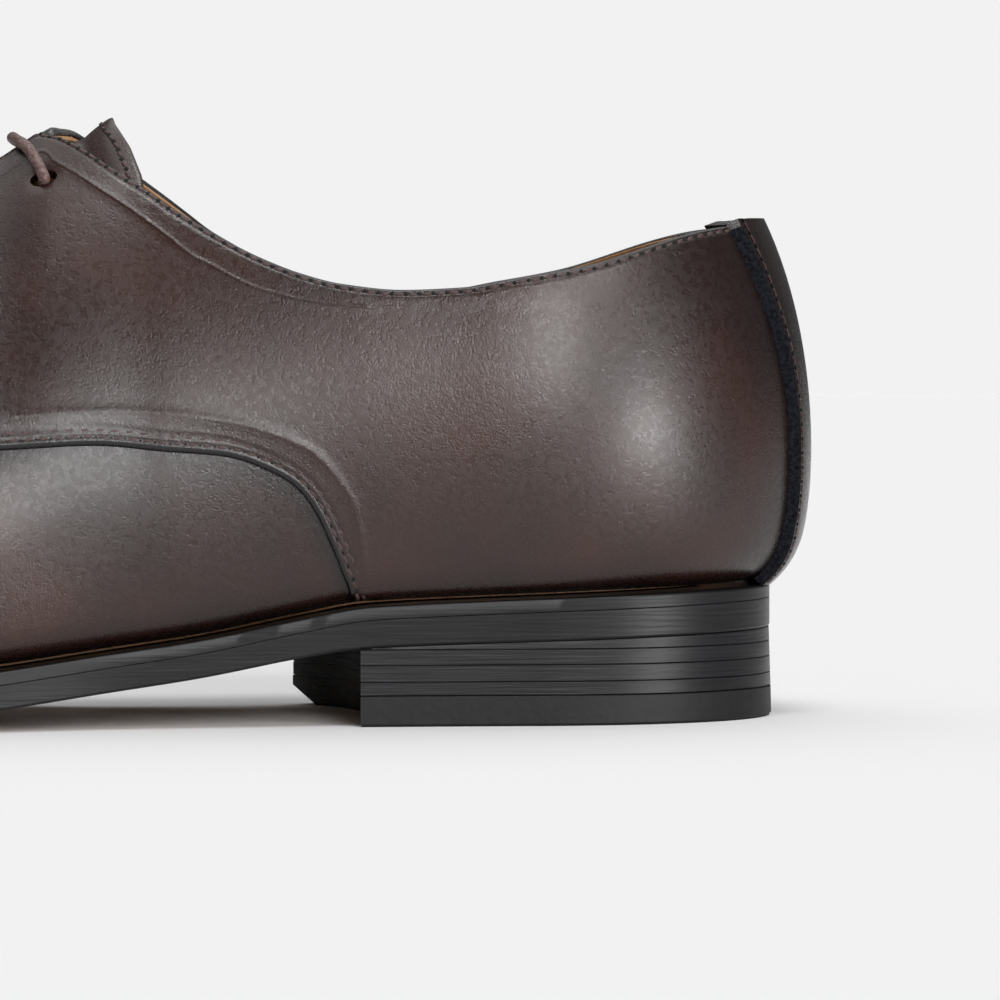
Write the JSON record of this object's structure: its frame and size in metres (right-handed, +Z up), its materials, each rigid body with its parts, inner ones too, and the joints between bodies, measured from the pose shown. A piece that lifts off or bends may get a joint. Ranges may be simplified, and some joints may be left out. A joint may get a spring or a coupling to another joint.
{
  "type": "derby shoe",
  "caption": "Plain-toe derby shoe in dark brown leather with open lacing, a welted leather sole and a low stacked heel.",
  "frame": {"origin": "on the floor, under the middle of the shoe's bounding box", "axes": "+X from heel to toe, +Y towards the outer side of the foot, +Z up"},
  "size_m": [0.3078, 0.1076, 0.109],
  "materials": {
    "upper": "waxed full-grain",
    "backstay": "waxed full-grain",
    "tongue": "waxed full-grain",
    "insole": "plain",
    "welt": "burnished edge",
    "outsole": "burnished edge",
    "heel_lifts": "burnished edge",
    "top_piece": "matte",
    "lace": "waxed cord"
  },
  "bodies": {
    "root": {"upper": "upper", "backstay": "backstay", "tongue": "tongue", "insole": "insole", "welt": "welt", "outsole": "outsole", "heel-lifts": "heel_lifts", "heel-top-piece": "top_piece", "lace-bar-1": "lace", "lace-bar-2": "lace", "lace-bar-3": "lace", "lace-bar-4": "lace"}
  },
  "joints": []
}
